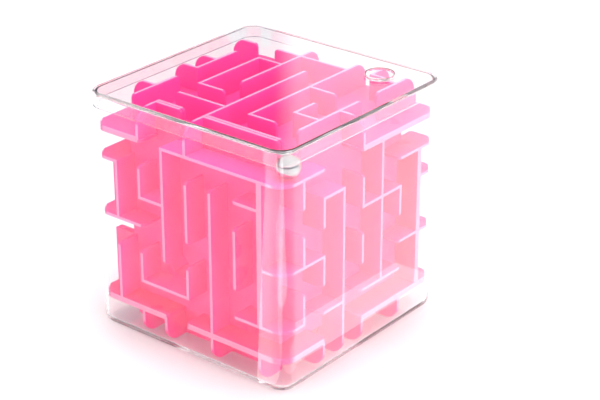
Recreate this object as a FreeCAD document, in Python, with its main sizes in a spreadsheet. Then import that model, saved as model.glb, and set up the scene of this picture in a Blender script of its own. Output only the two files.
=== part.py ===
import FreeCAD, Part
import os

# Tilt maze game: a clear box with a clear lid round a cube maze made of six
# face mouldings, and one steel ball. Millimetres, +Z up, origin at the middle
# of the flat underside of the box.

doc = FreeCAD.newDocument("tilt_maze_game")
sizes = doc.addObject("Spreadsheet::Sheet", "Sizes")

SIZE_LIST = [
    ("pitch", 10.0, "spacing of the maze grid lines"),
    ("wall_thickness", 1.0, "thickness of a maze wall"),
    ("seam_half", 30.2, "cube centre to the seam planes of the mouldings"),
    ("plate_thickness", 1.0, "thickness of the base plate of a moulding"),
    ("insert_half", 39.6, "cube centre to the free edges of the walls"),
    ("insert_round", 5.2, "rounding of every outside edge of the maze cube"),
    ("end_reach", 1.0, "how far a free wall end runs past its grid line"),
    ("end_round", 1.4, "rounding of the outer corner of a free wall end"),
    ("groove_width", 0.3, "gap between the two leaves of a doubled wall"),
    ("leaf_thickness", 1.05, "one leaf of a doubled wall"),
    ("pass_hole", 9.0, "round pass hole through a base plate"),
    ("box_inner_half", 39.8, "box centre to the inside of its walls"),
    ("box_outer_half", 40.6, "box centre to the outside of its walls"),
    ("box_inner_round", 5.0, "inside corner radius of the box"),
    ("box_outer_round", 5.6, "outside corner radius of the box"),
    ("box_bottom_round", 3.0, "rounding under the box"),
    ("floor_round", 1.6, "rounding inside the box at its floor"),
    ("floor_thickness", 1.6, "thickness of the box floor"),
    ("box_height", 82.5, "height of the box without its lid"),
    ("rim_round", 0.35, "rounding of both edges of the box rim"),
    ("lid_inner_half", 40.7, "lid centre to the inside of its skirt"),
    ("lid_outer_half", 41.4, "lid centre to the outside of its skirt"),
    ("lid_inner_round", 5.6, "inside corner radius of the lid skirt"),
    ("lid_outer_round", 6.1, "outside corner radius of the lid skirt"),
    ("lid_top_round", 1.0, "rounding of the top edge of the lid"),
    ("lid_thickness", 1.2, "thickness of the lid top"),
    ("skirt_depth", 4.0, "how far the lid skirt reaches below the box rim"),
    ("port_hole", 9.2, "ball port in the lid"),
    ("port_ring", 10.6, "raised ring round the ball port"),
    ("port_ring_height", 0.4, "height of that ring"),
    ("port_shift_x", 25.0, "ball port from the lid centre, to the right"),
    ("port_shift_y", 27.7, "ball port from the lid centre, to the back"),
    ("plug_gap", 0.15, "gap round the plug"),
    ("plug_head", 9.8, "head of the plug"),
    ("ball_size", 8.0, "steel ball"),
    ("ball_shift_x", 35.6, "ball centre to the right of the cube centre"),
    ("ball_shift_y", -32.6, "ball centre to the front of the cube centre"),
]

row = 1
for alias, number, note in SIZE_LIST:
    sizes.set("A%d" % row, alias)
    sizes.set("B%d" % row, str(number))
    sizes.set("C%d" % row, note)
    sizes.setAlias("B%d" % row, alias)
    row = row + 1
doc.recompute()


def size(alias):
    return float(getattr(sizes, alias))


def bind(thing, prop, formula):
    thing.setExpression(prop, formula)


def box(name, low, high):
    """A box between two corners, each corner three formulas on the sheet."""
    block = doc.addObject("Part::Box", name)
    for prop, lo, hi in zip(("Length", "Width", "Height"), low, high):
        bind(block, prop, "(%s) - (%s)" % (hi, lo))
    for axis, lo in zip("xyz", low):
        bind(block, "Placement.Base.%s" % axis, lo)
    return block


def cylinder(name, diameter, height, centre):
    rod = doc.addObject("Part::Cylinder", name)
    bind(rod, "Radius", "(%s) / 2" % diameter)
    bind(rod, "Height", height)
    for axis, where in zip("xyz", centre):
        bind(rod, "Placement.Base.%s" % axis, where)
    return rod


def cut(name, base, tool):
    result = doc.addObject("Part::Cut", name)
    result.Base = base
    result.Tool = tool
    return result


def fuse(name, pieces):
    result = doc.addObject("Part::MultiFuse", name)
    result.Shapes = pieces
    result.Refine = True
    return result


def common(name, base, tool):
    result = doc.addObject("Part::Common", name)
    result.Base = base
    result.Tool = tool
    result.Refine = True
    return result


def rounded(name, base, radius, wanted):
    """Round the edges of base that the test picks."""
    doc.recompute()
    picked = []
    for number, edge in enumerate(base.Shape.Edges, 1):
        if wanted(edge):
            picked.append((number, radius, radius))
    result = doc.addObject("Part::Fillet", name)
    result.Base = base
    result.Edges = picked
    return result


def is_upright(edge):
    b = edge.BoundBox
    return b.XLength < 1e-6 and b.YLength < 1e-6


def is_level_at(height):
    def test(edge):
        b = edge.BoundBox
        return abs(b.ZMin - height) < 1e-6 and b.ZLength < 1e-6
    return test


# ---------------------------------------------------------------- the maze
# Every face is drawn in the frame of the front face: x runs to the right, z
# runs up and the walls point to -y. Grid lines are numbered -3 to 3 both
# ways; -4 and 4 mean the outside edge of the cube. The finished moulding is
# then turned into its own place.

GRID = "Sizes.pitch"
REACH = "Sizes.insert_half"
SEAM = "Sizes.seam_half"
PLATE = "(Sizes.seam_half + Sizes.plate_thickness)"
HALF_WALL = "Sizes.wall_thickness / 2"


def grid_line(number):
    if number == 4:
        return REACH
    if number == -4:
        return "-" + REACH
    return "%d * %s" % (number, GRID)


def line_centre(face, number, upright):
    """Middle of a wall; walls beside a seam plane lie flush against it."""
    if face["kind"] == "side":
        if number == 3:
            return "%s - %s" % (SEAM, HALF_WALL)
        if number == -3 and not upright:
            return "%s - %s" % (HALF_WALL, SEAM)
    return grid_line(number)


def touches(face, upright, at, end, own):
    """True when another wall, a seam or the cube edge holds this wall end."""
    if abs(end) == 4:
        return True
    if face["kind"] == "side" and abs(end) == 3 and not (upright is False and end == -3):
        return True
    for other in face["uprights"]:
        if other is own:
            continue
        column, low, high = other
        here = (at, end) if upright else (end, at)
        if column == here[0] and low <= here[1] <= high:
            return True
    for other in face["shelves"]:
        if other is own:
            continue
        level, left, right = other
        here = (at, end) if upright else (end, at)
        if level == here[1] and left <= here[0] <= right:
            return True
    return False


def wall(face, label, upright, own, centre=None, thickness="Sizes.wall_thickness"):
    at, low, high = own
    if centre is None:
        centre = line_centre(face, at, upright)
    ends = []
    free = []
    for end, sign in ((low, -1), (high, 1)):
        held = touches(face, upright, at, end, own)
        edge = grid_line(end)
        if abs(end) != 4:
            if held:
                edge = "%s + %d * %s" % (edge, sign, HALF_WALL)
            else:
                edge = "%s + %d * Sizes.end_reach" % (edge, sign)
        ends.append(edge)
        free.append(not held)
    thin_low = "%s - (%s) / 2" % (centre, thickness)
    thin_high = "%s + (%s) / 2" % (centre, thickness)
    if upright:
        block = box(label, (thin_low, "-" + REACH, ends[0]), (thin_high, "-" + SEAM, ends[1]))
    else:
        block = box(label, (ends[0], "-" + REACH, thin_low), (ends[1], "-" + SEAM, thin_high))
    if not any(free):
        return block
    doc.recompute()
    limits = block.Shape.BoundBox

    def outer_end(edge):
        b = edge.BoundBox
        if b.YLength > 1e-6 or abs(b.YMin - limits.YMin) > 1e-6:
            return False
        if upright:
            if b.ZLength > 1e-6:
                return False
            return (free[0] and abs(b.ZMin - limits.ZMin) < 1e-6) or (
                free[1] and abs(b.ZMin - limits.ZMax) < 1e-6)
        if b.XLength > 1e-6:
            return False
        return (free[0] and abs(b.XMin - limits.XMin) < 1e-6) or (
            free[1] and abs(b.XMin - limits.XMax) < 1e-6)

    return rounded(label + "_round", block, size("end_round"), outer_end)


def double_wall(face, label, upright, own):
    """Two thin leaves side by side with a hairline groove between them."""
    at = own[0]
    shift = "(Sizes.leaf_thickness + Sizes.groove_width) / 2"
    leaves = []
    for sign in (-1, 1):
        centre = "%s + %d * %s" % (grid_line(at), sign, shift)
        name = "%s_leaf%d" % (label, (sign + 3) // 2)
        leaves.append(wall(face, name, upright, own, centre, "Sizes.leaf_thickness"))
    return leaves


def envelope():
    """The maze cube with every outside edge rounded."""
    lump = box("cube_lump", ["-" + REACH] * 3, [REACH] * 3)
    return rounded("cube_envelope", lump, size("insert_round"), lambda edge: True)


def face_zone(face, shell):
    """The part of the cube that belongs to this moulding."""
    name = face["name"] + "_zone"
    if face["kind"] == "side":
        low = ("-" + REACH, "-" + REACH, "-" + SEAM)
        high = (SEAM, "-" + SEAM, SEAM)
    else:
        low = ("-" + REACH, "-" + REACH, "-" + REACH)
        high = (REACH, "-" + SEAM, REACH)
    return common(name, shell, box(name + "_block", low, high))


def base_plate(face):
    name = face["name"] + "_plate"
    if face["kind"] == "side":
        return box(name, ("-" + PLATE, "-" + PLATE, "-" + SEAM), (SEAM, "-" + SEAM, SEAM))
    return box(name, ("-" + PLATE, "-" + PLATE, "-" + PLATE), (PLATE, "-" + SEAM, PLATE))


def flange(face, number, side, low, high):
    """A strip of the base plate carried on past the edge of the cube core."""
    name = "%s_flange%d" % (face["name"], number)
    ends = []
    for end, sign in ((low, -1), (high, 1)):
        edge = grid_line(end)
        if abs(end) != 4:
            edge = "%s + %d * %s" % (edge, sign, HALF_WALL)
        ends.append(edge)
    if side == "left":
        return box(name, ("-" + REACH, "-" + PLATE, ends[0]), ("-" + SEAM, "-" + SEAM, ends[1]))
    if side == "right":
        return box(name, (SEAM, "-" + PLATE, ends[0]), (REACH, "-" + SEAM, ends[1]))
    if side == "low":
        return box(name, (ends[0], "-" + PLATE, "-" + REACH), (ends[1], "-" + SEAM, "-" + SEAM))
    return box(name, (ends[0], "-" + PLATE, SEAM), (ends[1], "-" + SEAM, REACH))


def pass_hole(face, number, across, up):
    name = "%s_hole%d" % (face["name"], number)
    drill = doc.addObject("Part::Cylinder", name)
    bind(drill, "Radius", "Sizes.pass_hole / 2")
    bind(drill, "Height", "Sizes.insert_half")
    drill.Placement.Rotation = FreeCAD.Rotation(FreeCAD.Vector(1, 0, 0), 90)
    bind(drill, "Placement.Base.x", "%s * %s" % (across, GRID))
    bind(drill, "Placement.Base.y", "-Sizes.pitch * 2")
    bind(drill, "Placement.Base.z", "%s * %s" % (up, GRID))
    short = box(name + "_stop", ("-" + REACH, "-" + PLATE, "-" + REACH), (REACH, "0 * " + GRID, REACH))
    return common(name + "_drill", drill, short)


def moulding(face, shell):
    name = face["name"]
    pieces = [base_plate(face)]
    for number, own in enumerate(face["uprights"]):
        label = "%s_upright%d" % (name, number)
        if own in face.get("double_uprights", []):
            pieces = pieces + double_wall(face, label, True, own)
        else:
            pieces.append(wall(face, label, True, own))
    for number, own in enumerate(face["shelves"]):
        label = "%s_shelf%d" % (name, number)
        if own in face.get("double_shelves", []):
            pieces = pieces + double_wall(face, label, False, own)
        else:
            pieces.append(wall(face, label, False, own))
    for number, (side, low, high) in enumerate(face["flanges"]):
        pieces.append(flange(face, number, side, low, high))
    blank = common(name + "_blank", fuse(name + "_walls", pieces), face_zone(face, shell))
    holes = []
    for number, (across, up) in enumerate(face.get("holes", [])):
        holes.append(pass_hole(face, number, across, up))
    if len(holes) == 1:
        blank = cut(name + "_drilled", blank, holes[0])
    if len(holes) > 1:
        blank = cut(name + "_drilled", blank, fuse(name + "_drills", holes))
    return placed(name, blank, face["turn"])


def placed(name, shape, turn):
    """Turn a finished moulding into its place and lift it to the cube centre."""
    part = doc.addObject("Part::Compound", name)
    part.Links = [shape]
    part.Label = name
    part.Placement.Rotation = FreeCAD.Rotation(FreeCAD.Vector(*turn[0]), turn[1])
    bind(part, "Placement.Base.z", "Sizes.floor_thickness + Sizes.insert_half")
    return part


# uprights: (column, from, to); shelves: (level, from, to). Columns run from
# left to right and levels run upwards, both -3 to 3.
FRONT = {
    "name": "maze_front_face", "kind": "side", "turn": ((0, 0, 1), 0),
    "uprights": [(-3, 0, 2), (-3, -3, -1), (-2, 1, 2), (-2, -2, -1), (-1, -1, 3), (0, 0, 2),
                 (0, -2, -1), (1, -3, 2), (2, -1, 1), (3, -2, 3)],
    "shelves": [(3, -4, -2), (3, -1, 3), (2, -4, -3), (2, 2, 3), (1, -2, -1), (0, -4, -2),
                (-2, -2, 0), (-2, 2, 3), (-3, -4, -1), (-3, 0, 3)],
    "flanges": [("left", 0, 2), ("left", -3, -1)],
    "holes": [(-1.1, -1.5), (2.05, -2.5)],
}
RIGHT = {
    "name": "maze_right_face", "kind": "side", "turn": ((0, 0, 1), 90),
    "uprights": [(-3, 2, 3), (-3, 0, 1), (-3, -2, -1), (-2, 1, 2), (-2, -1, 0), (-1, -3, 2),
                 (0, 1, 2), (0, -1, 0), (1, -2, 3), (2, 0, 1), (3, -3, 2)],
    "shelves": [(3, -4, -2), (3, 0, 3), (2, -2, -1), (2, 2, 3), (1, 0, 2), (0, -4, -2),
                (-1, 2, 3), (-2, -4, -3), (-2, -2, -1), (-2, 0, 2), (-3, -4, -2), (-3, 0, 3)],
    "flanges": [("left", -2, 3)],
}
BACK = {
    "name": "maze_back_face", "kind": "side", "turn": ((0, 0, 1), 180),
    "uprights": [(-3, 0, 1), (-3, -2, -1), (-2, 2, 3), (-2, -2, 0), (-1, 0, 2), (-1, -3, -2),
                 (0, 1, 3), (0, -3, -1), (1, -1, 1), (2, 1, 2), (2, -2, -1), (3, 0, 3), (3, -3, -1)],
    "shelves": [(3, -4, -1), (3, 1, 3), (2, -4, -3), (2, 1, 2), (1, -4, -3), (1, 0, 1),
                (0, -1, 0), (0, 2, 3), (-1, -4, -2), (-1, 1, 2), (-2, -1, 0), (-2, 2, 3),
                (-3, -4, 0), (-3, 1, 3)],
    "flanges": [("left", -3, 2)],
    "holes": [(1.5, 2.5)],
}
LEFT = {
    "name": "maze_left_face", "kind": "side", "turn": ((0, 0, 1), 270),
    "uprights": [(-3, 1, 3), (-3, -1, 0), (-2, 0, 2), (-2, -3, -1), (-1, -1, 1), (0, 2, 3),
                 (0, -2, 0), (1, 1, 2), (1, -2, -1), (2, -1, 1), (2, -3, -2), (3, 0, 2), (3, -3, -1)],
    "shelves": [(3, -4, -2), (3, 0, 1), (3, 2, 3), (2, -1, 0), (2, 2, 3), (1, -4, -3), (1, 0, 1),
                (0, -2, -1), (0, 1, 3), (-1, -4, -3), (-1, 0, 2), (-2, -4, -2), (-2, -1, 0),
                (-3, -4, -1), (-3, 1, 3)],
    "flanges": [("left", 0, 3), ("left", -3, -1)],
}
TOP = {
    "name": "maze_top_face", "kind": "cap", "turn": ((1, 0, 0), -90),
    "uprights": [(-3, -3, -1), (-3, 0, 2), (-2, -4, -3), (-2, -1, 2), (-1, 0, 4), (0, -4, 2),
                 (1, -2, 4), (2, -1, 0), (2, 3, 4), (3, -2, 1), (3, 2, 4)],
    "shelves": [(-3, -2, -1), (-3, 0, 3), (-2, -4, -3), (-2, -2, 0), (-2, 1, 2), (-1, -2, -1),
                (-1, 2, 3), (0, -4, -3), (0, 3, 4), (1, -4, -3), (1, 1, 2), (2, -2, -1),
                (3, -4, -3), (3, -2, 1), (3, 2, 3)],
    "double_shelves": [(-3, -2, -1), (-3, 0, 3)],
    "flanges": [("low", -4, -2), ("right", 0, 4), ("high", 1, 4), ("high", -4, -1),
                ("left", -4, -2), ("left", -1, 0), ("left", 2, 4)],
}
BOTTOM = {
    "name": "maze_bottom_face", "kind": "cap", "turn": ((1, 0, 0), 90),
    "uprights": [(-2, 3, 4), (-1, 3, 4), (1, 3, 4), (3, 3, 4), (-3, -1, 1), (-2, -3, -1), (-1, 0, 2),
                 (0, -2, 1), (1, -3, -1), (2, 0, 2), (3, -1, 1), (0, -4, -3)],
    "shelves": [(2, 3, 4), (1, 3, 4), (0, 3, 4), (-2, 3, 4), (3, -3, 0), (3, 1, 3), (2, -2, -1),
                (1, 0, 1), (0, -3, -2), (-1, 1, 2), (-2, -1, 0), (-3, -4, -1), (-3, 0, 3), (0, -4, -3)],
    "flanges": [("high", -4, -1), ("high", 0, 4), ("right", 2, 4), ("right", -4, 0),
                ("low", 0, 4), ("low", -4, -1), ("left", -4, -1), ("left", 1, 4)],
}

shell = envelope()
parts = []
for face in (FRONT, RIGHT, BACK, LEFT, TOP, BOTTOM):
    parts.append(moulding(face, shell))


# ----------------------------------------------------------------- the box
def case_body():
    half = "Sizes.box_outer_half"
    inner = "Sizes.box_inner_half"
    lump = box("body_lump", ("-" + half, "-" + half, "0 * " + half), (half, half, "Sizes.box_height"))
    sides = rounded("body_sides", lump, size("box_outer_round"), is_upright)
    skin = rounded("body_skin", sides, size("box_bottom_round"), is_level_at(0.0))
    hollow = box("body_hollow", ("-" + inner, "-" + inner, "Sizes.floor_thickness"),
                 (inner, inner, "Sizes.box_height + 5"))
    room = rounded("body_room", hollow, size("box_inner_round"), is_upright)
    room = rounded("body_room_floor", room, size("floor_round"), is_level_at(size("floor_thickness")))
    shell = cut("body_shell", skin, room)
    part = rounded("case_body", shell, size("rim_round"), is_level_at(size("box_height")))
    part.Label = "case_body"
    return part


def case_lid():
    half = "Sizes.lid_outer_half"
    inner = "Sizes.lid_inner_half"
    rim = "Sizes.box_height"
    lump = box("lid_lump", ("-" + half, "-" + half, rim + " - Sizes.skirt_depth"),
               (half, half, rim + " + Sizes.lid_thickness"))
    sides = rounded("lid_sides", lump, size("lid_outer_round"), is_upright)
    skin = rounded("lid_skin", sides, size("lid_top_round"),
                   is_level_at(size("box_height") + size("lid_thickness")))
    hollow = box("lid_hollow", ("-" + inner, "-" + inner, rim + " - Sizes.skirt_depth - 5"),
                 (inner, inner, rim))
    room = rounded("lid_room", hollow, size("lid_inner_round"), is_upright)
    ring = cylinder("lid_port_ring", "Sizes.port_ring", "Sizes.lid_thickness / 2 + Sizes.port_ring_height",
                    ("Sizes.port_shift_x", "Sizes.port_shift_y", rim + " + Sizes.lid_thickness / 2"))
    hole = cylinder("lid_port_hole", "Sizes.port_hole", "Sizes.lid_thickness * 4",
                    ("Sizes.port_shift_x", "Sizes.port_shift_y", rim + " - Sizes.lid_thickness"))
    cover = cut("lid_cover", skin, room)
    part = cut("case_lid", fuse("lid_with_ring", [cover, ring]), hole)
    part.Label = "case_lid"
    return part


def lid_port_plug():
    rim = "Sizes.box_height"
    centre = ("Sizes.port_shift_x", "Sizes.port_shift_y")
    stem = cylinder("plug_stem", "Sizes.port_hole - 2 * Sizes.plug_gap",
                    "Sizes.lid_thickness + Sizes.port_ring_height + 0.4", centre + (rim,))
    head = cylinder("plug_head", "Sizes.plug_head", "0.5 * Sizes.lid_thickness",
                    centre + (rim + " + Sizes.lid_thickness + Sizes.port_ring_height",))
    part = fuse("lid_port_plug", [stem, head])
    part.Label = "lid_port_plug"
    return part


def steel_ball():
    part = doc.addObject("Part::Sphere", "steel_ball")
    bind(part, "Radius", "Sizes.ball_size / 2")
    bind(part, "Placement.Base.x", "Sizes.ball_shift_x")
    bind(part, "Placement.Base.y", "Sizes.ball_shift_y")
    bind(part, "Placement.Base.z",
         "Sizes.floor_thickness + Sizes.insert_half + Sizes.seam_half + Sizes.ball_size / 2")
    part.Label = "steel_ball"
    return part


parts = parts + [case_body(), case_lid(), lid_port_plug(), steel_ball()]

doc.recompute()

for thing in doc.Objects:
    for state in thing.State:
        if "Invalid" in state or "Error" in state:
            raise RuntimeError("%s is in state %s" % (thing.Name, state))

os.makedirs("parts", exist_ok=True)
for part in parts:
    shape = part.Shape
    if shape.isNull() or not shape.isValid():
        raise RuntimeError("%s has no valid shape" % part.Label)
    if len(shape.Solids) != 1:
        raise RuntimeError("%s has %d solids" % (part.Label, len(shape.Solids)))
    shape.exportStep("parts/%s.step" % part.Label)
    b = shape.BoundBox
    print("%-18s %7.2f %7.2f %7.2f to %7.2f %7.2f %7.2f" % (
        part.Label, b.XMin, b.YMin, b.ZMin, b.XMax, b.YMax, b.ZMax))
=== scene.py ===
"""Tilt maze game: materials, studio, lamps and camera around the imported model. Metres, +Z up."""
import math

import bmesh
import bpy
from mathutils import Matrix, Vector


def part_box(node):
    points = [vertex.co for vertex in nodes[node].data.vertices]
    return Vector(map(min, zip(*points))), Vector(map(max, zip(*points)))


# ------------------------------------------------------------------ frame
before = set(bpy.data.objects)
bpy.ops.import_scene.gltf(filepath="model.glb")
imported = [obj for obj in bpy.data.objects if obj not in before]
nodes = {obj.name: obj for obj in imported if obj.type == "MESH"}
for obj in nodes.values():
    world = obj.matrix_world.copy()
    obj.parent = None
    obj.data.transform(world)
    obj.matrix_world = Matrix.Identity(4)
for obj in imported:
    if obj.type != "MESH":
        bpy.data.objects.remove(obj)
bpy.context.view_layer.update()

CLEAR_PARTS = ["case_body", "case_lid", "lid_port_plug"]
MAZE_PARTS = [
    "maze_top_face",
    "maze_bottom_face",
    "maze_front_face",
    "maze_right_face",
    "maze_back_face",
    "maze_left_face",
]
CUBE_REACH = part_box("maze_right_face")[1][0]
CUBE_MIDDLE = (0.0, 0.0, (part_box("maze_top_face")[1][2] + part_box("maze_bottom_face")[0][2]) / 2)

WALL_EDGE_ROUND = 0.0002
WALL_EDGE_ANGLE = math.radians(35.0)
WELD_DISTANCE = 0.000002
# Between these two distances from the cube's middle, the walls turn to a paler pink: a painted
# highlight on their free edges, where light catches the wall tips.
EDGE_HIGHLIGHT_STARTS = CUBE_REACH - 0.00015
EDGE_HIGHLIGHT_IS_FULL = CUBE_REACH - 0.00003

FLOOR_HALF_WIDTH = 3.0
FLOOR_DROP = 0.0002
CARD_HEIGHT = 0.001
LAMP_AIM = (0.0, 0.0, 0.05)

# The room's directions: across to the right, out past the box's near corner, and up.
ROOM_RIGHT = (0.777, 0.629, 0.0)
ROOM_FRONT = (0.629, -0.777, 0.0)
ROOM_UP = (0.0, 0.0, 1.0)

# Nearly all the values of a noise lie between these two.
NOISE_LOW = 0.3
NOISE_HIGH = 0.7


# -------------------------------------------------------------- node help
def new_material(name):
    mat = bpy.data.materials.new(name)
    mat.use_nodes = True
    tree = mat.node_tree
    tree.nodes.clear()
    return mat, tree


def object_coords(tree):
    return tree.nodes.new("ShaderNodeTexCoord").outputs["Object"]


def noise(tree, coords, scale, detail):
    node = tree.nodes.new("ShaderNodeTexNoise")
    node.inputs["Scale"].default_value = scale
    node.inputs["Detail"].default_value = detail
    tree.links.new(coords, node.inputs["Vector"])
    return node.outputs["Fac"]


def ramp(tree, fac, low_colour, high_colour):
    """Blend from one colour to the other over a noise's range."""
    node = tree.nodes.new("ShaderNodeValToRGB")
    low, high = node.color_ramp.elements
    low.position = NOISE_LOW
    low.color = (*low_colour, 1.0)
    high.position = NOISE_HIGH
    high.color = (*high_colour, 1.0)
    tree.links.new(fac, node.inputs["Fac"])
    return node.outputs["Color"]


def spread(tree, fac, low, high):
    """Turn a noise into a number between low and high."""
    node = tree.nodes.new("ShaderNodeMapRange")
    node.inputs["From Min"].default_value = NOISE_LOW
    node.inputs["From Max"].default_value = NOISE_HIGH
    node.inputs["To Min"].default_value = low
    node.inputs["To Max"].default_value = high
    tree.links.new(fac, node.inputs["Value"])
    return node.outputs["Result"]


def eased(tree, value, low, high):
    """0 where the value is below low, 1 where it is above high, and smooth between."""
    node = tree.nodes.new("ShaderNodeMapRange")
    node.interpolation_type = "SMOOTHSTEP"
    node.inputs["From Min"].default_value = low
    node.inputs["From Max"].default_value = high
    tree.links.new(value, node.inputs["Value"])
    return node.outputs["Result"]


def bump(tree, height, strength, distance):
    node = tree.nodes.new("ShaderNodeBump")
    node.inputs["Strength"].default_value = strength
    node.inputs["Distance"].default_value = distance
    tree.links.new(height, node.inputs["Height"])
    return node.outputs["Normal"]


def stretched(tree, coords, scale):
    node = tree.nodes.new("ShaderNodeMapping")
    node.inputs["Scale"].default_value = scale
    tree.links.new(coords, node.inputs["Vector"])
    return node.outputs["Vector"]


def maths(tree, operation, first, second):
    """A Math node; each of the two inputs is a plain number or another node's output."""
    node = tree.nodes.new("ShaderNodeMath")
    node.operation = operation
    for socket, value in zip(node.inputs, (first, second)):
        if isinstance(value, float):
            socket.default_value = value
        else:
            tree.links.new(value, socket)
    return node.outputs[0]


def see_through_for(tree, surface, kind, colour=(1.0, 1.0, 1.0)):
    """The surface, but rays of one kind go straight through it and take on a colour."""
    gap = tree.nodes.new("ShaderNodeBsdfTransparent")
    gap.inputs["Color"].default_value = (*colour, 1.0)
    mix = tree.nodes.new("ShaderNodeMixShader")
    path = tree.nodes.new("ShaderNodeLightPath")
    tree.links.new(path.outputs[kind], mix.inputs["Fac"])
    tree.links.new(surface, mix.inputs[1])
    tree.links.new(gap.outputs[0], mix.inputs[2])
    return mix.outputs[0]


# -------------------------------------------------------------- materials
def clear_plastic():
    """Clear polystyrene with haze and fine scratches. Lamp and bounced light go straight through."""
    mat, tree = new_material("clear_polystyrene")
    coords = object_coords(tree)
    out = tree.nodes.new("ShaderNodeOutputMaterial")
    shader = tree.nodes.new("ShaderNodeBsdfPrincipled")
    haze = noise(tree, coords, 60.0, 4.0)
    tint = ramp(tree, haze, (0.985, 0.985, 0.99), (1.0, 0.995, 0.997))
    tree.links.new(tint, shader.inputs["Base Color"])
    tree.links.new(spread(tree, haze, 0.0, 0.03), shader.inputs["Roughness"])
    scratches = noise(tree, stretched(tree, coords, (900.0, 60.0, 300.0)), 1.0, 2.0)
    tree.links.new(bump(tree, scratches, 0.02, 0.00005), shader.inputs["Normal"])
    shader.inputs["IOR"].default_value = 1.5
    shader.inputs["Transmission Weight"].default_value = 1.0
    surface = shader.outputs[0]
    for kind in ("Is Shadow Ray", "Is Diffuse Ray"):
        surface = see_through_for(tree, surface, kind)
    tree.links.new(surface, out.inputs["Surface"])
    return mat


def outer_reach(tree, coords):
    """How far a point is from the middle of the cube, along the nearest face's direction."""
    shift = tree.nodes.new("ShaderNodeVectorMath")
    shift.operation = "SUBTRACT"
    shift.inputs[1].default_value = CUBE_MIDDLE
    tree.links.new(coords, shift.inputs[0])
    size = tree.nodes.new("ShaderNodeVectorMath")
    size.operation = "ABSOLUTE"
    tree.links.new(shift.outputs[0], size.inputs[0])
    split = tree.nodes.new("ShaderNodeSeparateXYZ")
    tree.links.new(size.outputs[0], split.inputs[0])
    sideways = maths(tree, "MAXIMUM", split.outputs["X"], split.outputs["Y"])
    return maths(tree, "MAXIMUM", sideways, split.outputs["Z"])


def pink_skin_and_edge_highlight(tree, coords, flow):
    """Hot pink with faint flow marks, and a painted highlight: paler pink on the free edges of the
    walls, where light catches them.
    """
    edge = tree.nodes.new("ShaderNodeMapRange")
    edge.inputs["From Min"].default_value = EDGE_HIGHLIGHT_STARTS
    edge.inputs["From Max"].default_value = EDGE_HIGHLIGHT_IS_FULL
    tree.links.new(outer_reach(tree, coords), edge.inputs["Value"])
    skin = tree.nodes.new("ShaderNodeMix")
    skin.data_type = "RGBA"
    tree.links.new(edge.outputs["Result"], skin.inputs["Factor"])
    deep = ramp(tree, flow, (1.0, 0.062, 0.30), (1.0, 0.088, 0.34))
    tree.links.new(deep, skin.inputs["A"])
    # Painted highlight: the pale pink of the lit free edges of the walls.
    skin.inputs["B"].default_value = (1.0, 0.46, 0.66, 1.0)
    return skin.outputs["Result"]


def pink_plastic():
    """Pink translucent polystyrene that glows with light from behind, and lets part of it through."""
    mat, tree = new_material("pink_translucent_plastic")
    coords = object_coords(tree)
    out = tree.nodes.new("ShaderNodeOutputMaterial")
    flow = noise(tree, coords, 45.0, 3.0)
    shader = tree.nodes.new("ShaderNodeBsdfPrincipled")
    tree.links.new(pink_skin_and_edge_highlight(tree, coords, flow), shader.inputs["Base Color"])
    tree.links.new(spread(tree, flow, 0.26, 0.36), shader.inputs["Roughness"])
    grain = noise(tree, coords, 1800.0, 2.0)
    tree.links.new(bump(tree, grain, 0.08, 0.00004), shader.inputs["Normal"])
    shader.inputs["IOR"].default_value = 1.5
    glow = tree.nodes.new("ShaderNodeBsdfTranslucent")
    glow.inputs["Color"].default_value = (1.0, 0.08, 0.56, 1.0)
    body = tree.nodes.new("ShaderNodeMixShader")
    body.inputs["Fac"].default_value = 0.50
    tree.links.new(shader.outputs[0], body.inputs[1])
    tree.links.new(glow.outputs[0], body.inputs[2])
    surface = see_through_for(tree, body.outputs[0], "Is Shadow Ray", (0.62, 0.52, 0.58))
    tree.links.new(surface, out.inputs["Surface"])
    return mat


def polished_steel():
    """Polished ball steel with faint rolling marks."""
    mat, tree = new_material("polished_ball_steel")
    out = tree.nodes.new("ShaderNodeOutputMaterial")
    shader = tree.nodes.new("ShaderNodeBsdfPrincipled")
    wear = noise(tree, object_coords(tree), 400.0, 4.0)
    tint = ramp(tree, wear, (0.46, 0.46, 0.47), (0.58, 0.58, 0.58))
    tree.links.new(tint, shader.inputs["Base Color"])
    tree.links.new(spread(tree, wear, 0.05, 0.14), shader.inputs["Roughness"])
    shader.inputs["Metallic"].default_value = 1.0
    tree.links.new(shader.outputs[0], out.inputs["Surface"])
    return mat


def floor_paper():
    """Matt pale paper."""
    mat, tree = new_material("studio_floor")
    out = tree.nodes.new("ShaderNodeOutputMaterial")
    shader = tree.nodes.new("ShaderNodeBsdfPrincipled")
    shader.inputs["Base Color"].default_value = (0.60, 0.60, 0.60, 1.0)
    shader.inputs["Roughness"].default_value = 0.9
    tree.links.new(shader.outputs[0], out.inputs["Surface"])
    return mat


# ---------------------------------------------------------- surface finish
def soften(obj):
    """Merge the imported mesh, round its edges a little and keep its flats flat."""
    weld = obj.modifiers.new("weld", "WELD")
    weld.merge_threshold = WELD_DISTANCE
    bevel = obj.modifiers.new("edge_round", "BEVEL")
    bevel.width = WALL_EDGE_ROUND
    bevel.segments = 2
    bevel.limit_method = "ANGLE"
    bevel.angle_limit = WALL_EDGE_ANGLE
    bevel.use_clamp_overlap = True
    shade_smooth(obj)
    flats = obj.modifiers.new("flat_faces", "WEIGHTED_NORMAL")
    flats.mode = "FACE_AREA"
    flats.weight = 100
    flats.keep_sharp = False


def shade_smooth(obj):
    for poly in obj.data.polygons:
        poly.use_smooth = True


def paint(obj, mat):
    """Give a piece its one material."""
    obj.data.materials.clear()
    obj.data.materials.append(mat)


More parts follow.
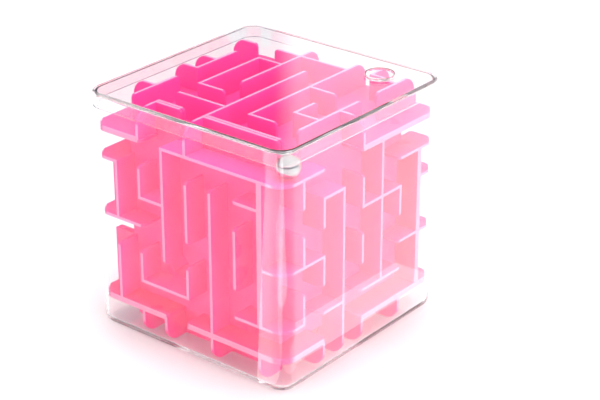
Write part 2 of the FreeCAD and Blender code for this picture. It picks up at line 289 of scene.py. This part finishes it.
# ------------------------------------------------------------------ stage
def studio_floor():
    """A wide flat pale sheet, a hair below the box so that the two never share a plane."""
    mesh = bpy.data.meshes.new("floor_sheet")
    sheet = bmesh.new()
    bmesh.ops.create_grid(sheet, x_segments=2, y_segments=2, size=FLOOR_HALF_WIDTH)
    sheet.to_mesh(mesh)
    sheet.free()
    obj = bpy.data.objects.new("floor_sheet", mesh)
    obj.location = (0.0, 0.0, -FLOOR_DROP)
    obj.data.materials.append(floor_paper())
    bpy.context.scene.collection.objects.link(obj)


def towards(tree, ray, direction):
    """How far a ray points in a direction, from -1 for the opposite way to 1 for the same way."""
    node = tree.nodes.new("ShaderNodeVectorMath")
    node.operation = "DOT_PRODUCT"
    node.inputs[1].default_value = direction
    tree.links.new(ray, node.inputs[0])
    return node.outputs["Value"]


def lit_part(tree, ray):
    """1 where the room is lit. It is unlit at middle height behind on the left, and low in front."""
    height = towards(tree, ray, ROOM_UP)
    right_side = eased(tree, towards(tree, ray, ROOM_RIGHT), -0.016, 0.002)
    front_side = eased(tree, towards(tree, ray, ROOM_FRONT), -0.3, 0.1)
    low_back = maths(tree, "SUBTRACT", 1.0, eased(tree, height, 0.14, 0.24))
    high_back = eased(tree, height, 0.56, 0.66)
    back = maths(tree, "MAXIMUM", maths(tree, "MAXIMUM", low_back, high_back), right_side)
    room = maths(tree, "MAXIMUM", back, front_side)
    not_in_front = maths(tree, "SUBTRACT", 1.0, front_side)
    off_horizon = maths(tree, "MAXIMUM", eased(tree, height, 0.10, 0.40), not_in_front)
    return maths(tree, "MULTIPLY", room, off_horizon)


def studio_world():
    """A white room with an unlit part for the plastic to mirror; the eye sees plain white."""
    world = bpy.data.worlds.new("studio_world")
    world.use_nodes = True
    tree = world.node_tree
    tree.nodes.clear()
    out = tree.nodes.new("ShaderNodeOutputWorld")
    ray = tree.nodes.new("ShaderNodeTexCoord").outputs["Generated"]
    shade = tree.nodes.new("ShaderNodeMix")
    shade.data_type = "RGBA"
    shade.inputs["A"].default_value = (0.10, 0.09, 0.17, 1.0)
    shade.inputs["B"].default_value = (1.0, 1.0, 1.0, 1.0)
    tree.links.new(lit_part(tree, ray), shade.inputs["Factor"])
    room = tree.nodes.new("ShaderNodeBackground")
    room.inputs["Strength"].default_value = 1.2
    tree.links.new(shade.outputs["Result"], room.inputs["Color"])
    plain = tree.nodes.new("ShaderNodeBackground")
    plain.inputs["Color"].default_value = (1.0, 1.0, 1.0, 1.0)
    seen = tree.nodes.new("ShaderNodeMixShader")
    path = tree.nodes.new("ShaderNodeLightPath")
    tree.links.new(path.outputs["Is Camera Ray"], seen.inputs["Fac"])
    tree.links.new(room.outputs[0], seen.inputs[1])
    tree.links.new(plain.outputs[0], seen.inputs[2])
    tree.links.new(seen.outputs[0], out.inputs["Surface"])
    bpy.context.scene.world = world


def hide_from_eye(obj, seen_in):
    """Neither the camera nor rays through clear plastic meet it; seen_in names the rays that do."""
    obj.visible_camera = False
    obj.visible_transmission = False
    obj.visible_diffuse = "diffuse" in seen_in
    obj.visible_glossy = "glossy" in seen_in


def area_light(name, place, aim, size, power, seen_in=("diffuse",)):
    """A soft rectangular panel at a place, turned to face the aim."""
    data = bpy.data.lights.new(name, "AREA")
    data.shape = "RECTANGLE"
    data.size, data.size_y = size
    data.energy = power
    obj = bpy.data.objects.new(name, data)
    obj.location = place
    obj.rotation_euler = (Vector(aim) - Vector(place)).to_track_quat("-Z", "Y").to_euler()
    hide_from_eye(obj, seen_in)
    bpy.context.scene.collection.objects.link(obj)
    return obj


def floor_card(name, place, turn, size, power):
    """A glowing card just over the floor, facing up, that only polished surfaces mirror."""
    obj = area_light(name, (*place, CARD_HEIGHT), (*place, 1.0), size, power, ("glossy",))
    obj.rotation_euler = (math.pi, 0.0, math.radians(turn))


def core_glow():
    """A faint lamp in the hollow of the cube, so that the maze floors aren't dead from behind."""
    data = bpy.data.lights.new("core_glow", "POINT")
    data.energy = 0.02
    data.color = (1.0, 0.85, 0.95)
    data.shadow_soft_size = 0.01
    obj = bpy.data.objects.new("core_glow", data)
    obj.location = CUBE_MIDDLE
    hide_from_eye(obj, ("diffuse",))
    bpy.context.scene.collection.objects.link(obj)


def studio_light():
    """Soft panels all round, and floor cards for the sheen on the box's two near walls."""
    area_light("key_right", (0.70, -0.05, 0.26), LAMP_AIM, (0.35, 0.35), 2.8, ("diffuse", "glossy"))
    area_light("fill_front", (-0.45, -0.75, 0.14), LAMP_AIM, (0.5, 0.5), 3.2)
    area_light("fill_back", (-0.55, 0.50, 0.40), LAMP_AIM, (0.5, 0.5), 2.5)
    area_light("fill_top", (0.0, 0.0, 0.34), LAMP_AIM, (0.12, 0.12), 0.45)
    area_light("soft_top", (0.10, 0.0, 0.65), LAMP_AIM, (0.5, 0.5), 3.0)
    floor_card("card_right", (0.50, 0.345), 0.0, (0.90, 1.01), 6.3)
    floor_card("card_front", (0.021, -0.174), -39.0, (0.155, 0.22), 0.42)
    floor_card("card_foot", (0.055, 0.01), 0.0, (0.025, 0.09), 0.012)
    floor_card("card_corner", (0.125, -0.130), -51.0, (0.14, 0.07), 0.13)
    core_glow()


def camera():
    """Long lens from the near corner, about 39 degrees round and 25 up, aimed beside the cube."""
    turn, rise = math.radians(38.977), math.radians(25.102)
    distance, aim_right, aim_up = 0.604298, 0.0109, 0.000483
    right = Vector((math.cos(turn), math.sin(turn), 0.0))
    ahead = Vector((-math.sin(turn) * math.cos(rise), math.cos(turn) * math.cos(rise), -math.sin(rise)))
    up = right.cross(ahead)
    data = bpy.data.cameras.new("camera")
    data.sensor_width = 36.0
    data.lens = 109.05
    data.clip_start = 0.01
    data.clip_end = 20.0
    obj = bpy.data.objects.new("camera", data)
    place = Vector(CUBE_MIDDLE) - ahead * distance + right * aim_right + up * aim_up
    axes = Matrix((right, up, -ahead)).transposed().to_4x4()
    obj.matrix_world = Matrix.Translation(place) @ axes
    bpy.context.scene.collection.objects.link(obj)
    bpy.context.scene.camera = obj


def light_paths():
    """Clear walls seen through clear walls need many bounces, or their edges turn black."""
    cycles = bpy.context.scene.cycles
    cycles.max_bounces = 64
    cycles.diffuse_bounces = 3
    cycles.glossy_bounces = 64
    cycles.transmission_bounces = 64
    cycles.transparent_max_bounces = 24


# ------------------------------------------------------------------ making
clear = clear_plastic()
pink = pink_plastic()
steel = polished_steel()
for name in CLEAR_PARTS:
    paint(nodes[name], clear)
for name in MAZE_PARTS:
    paint(nodes[name], pink)
    soften(nodes[name])
paint(nodes["steel_ball"], steel)
shade_smooth(nodes["steel_ball"])

studio_floor()
studio_world()
studio_light()
camera()
light_paths()
bpy.context.scene.view_settings.view_transform = "Standard"
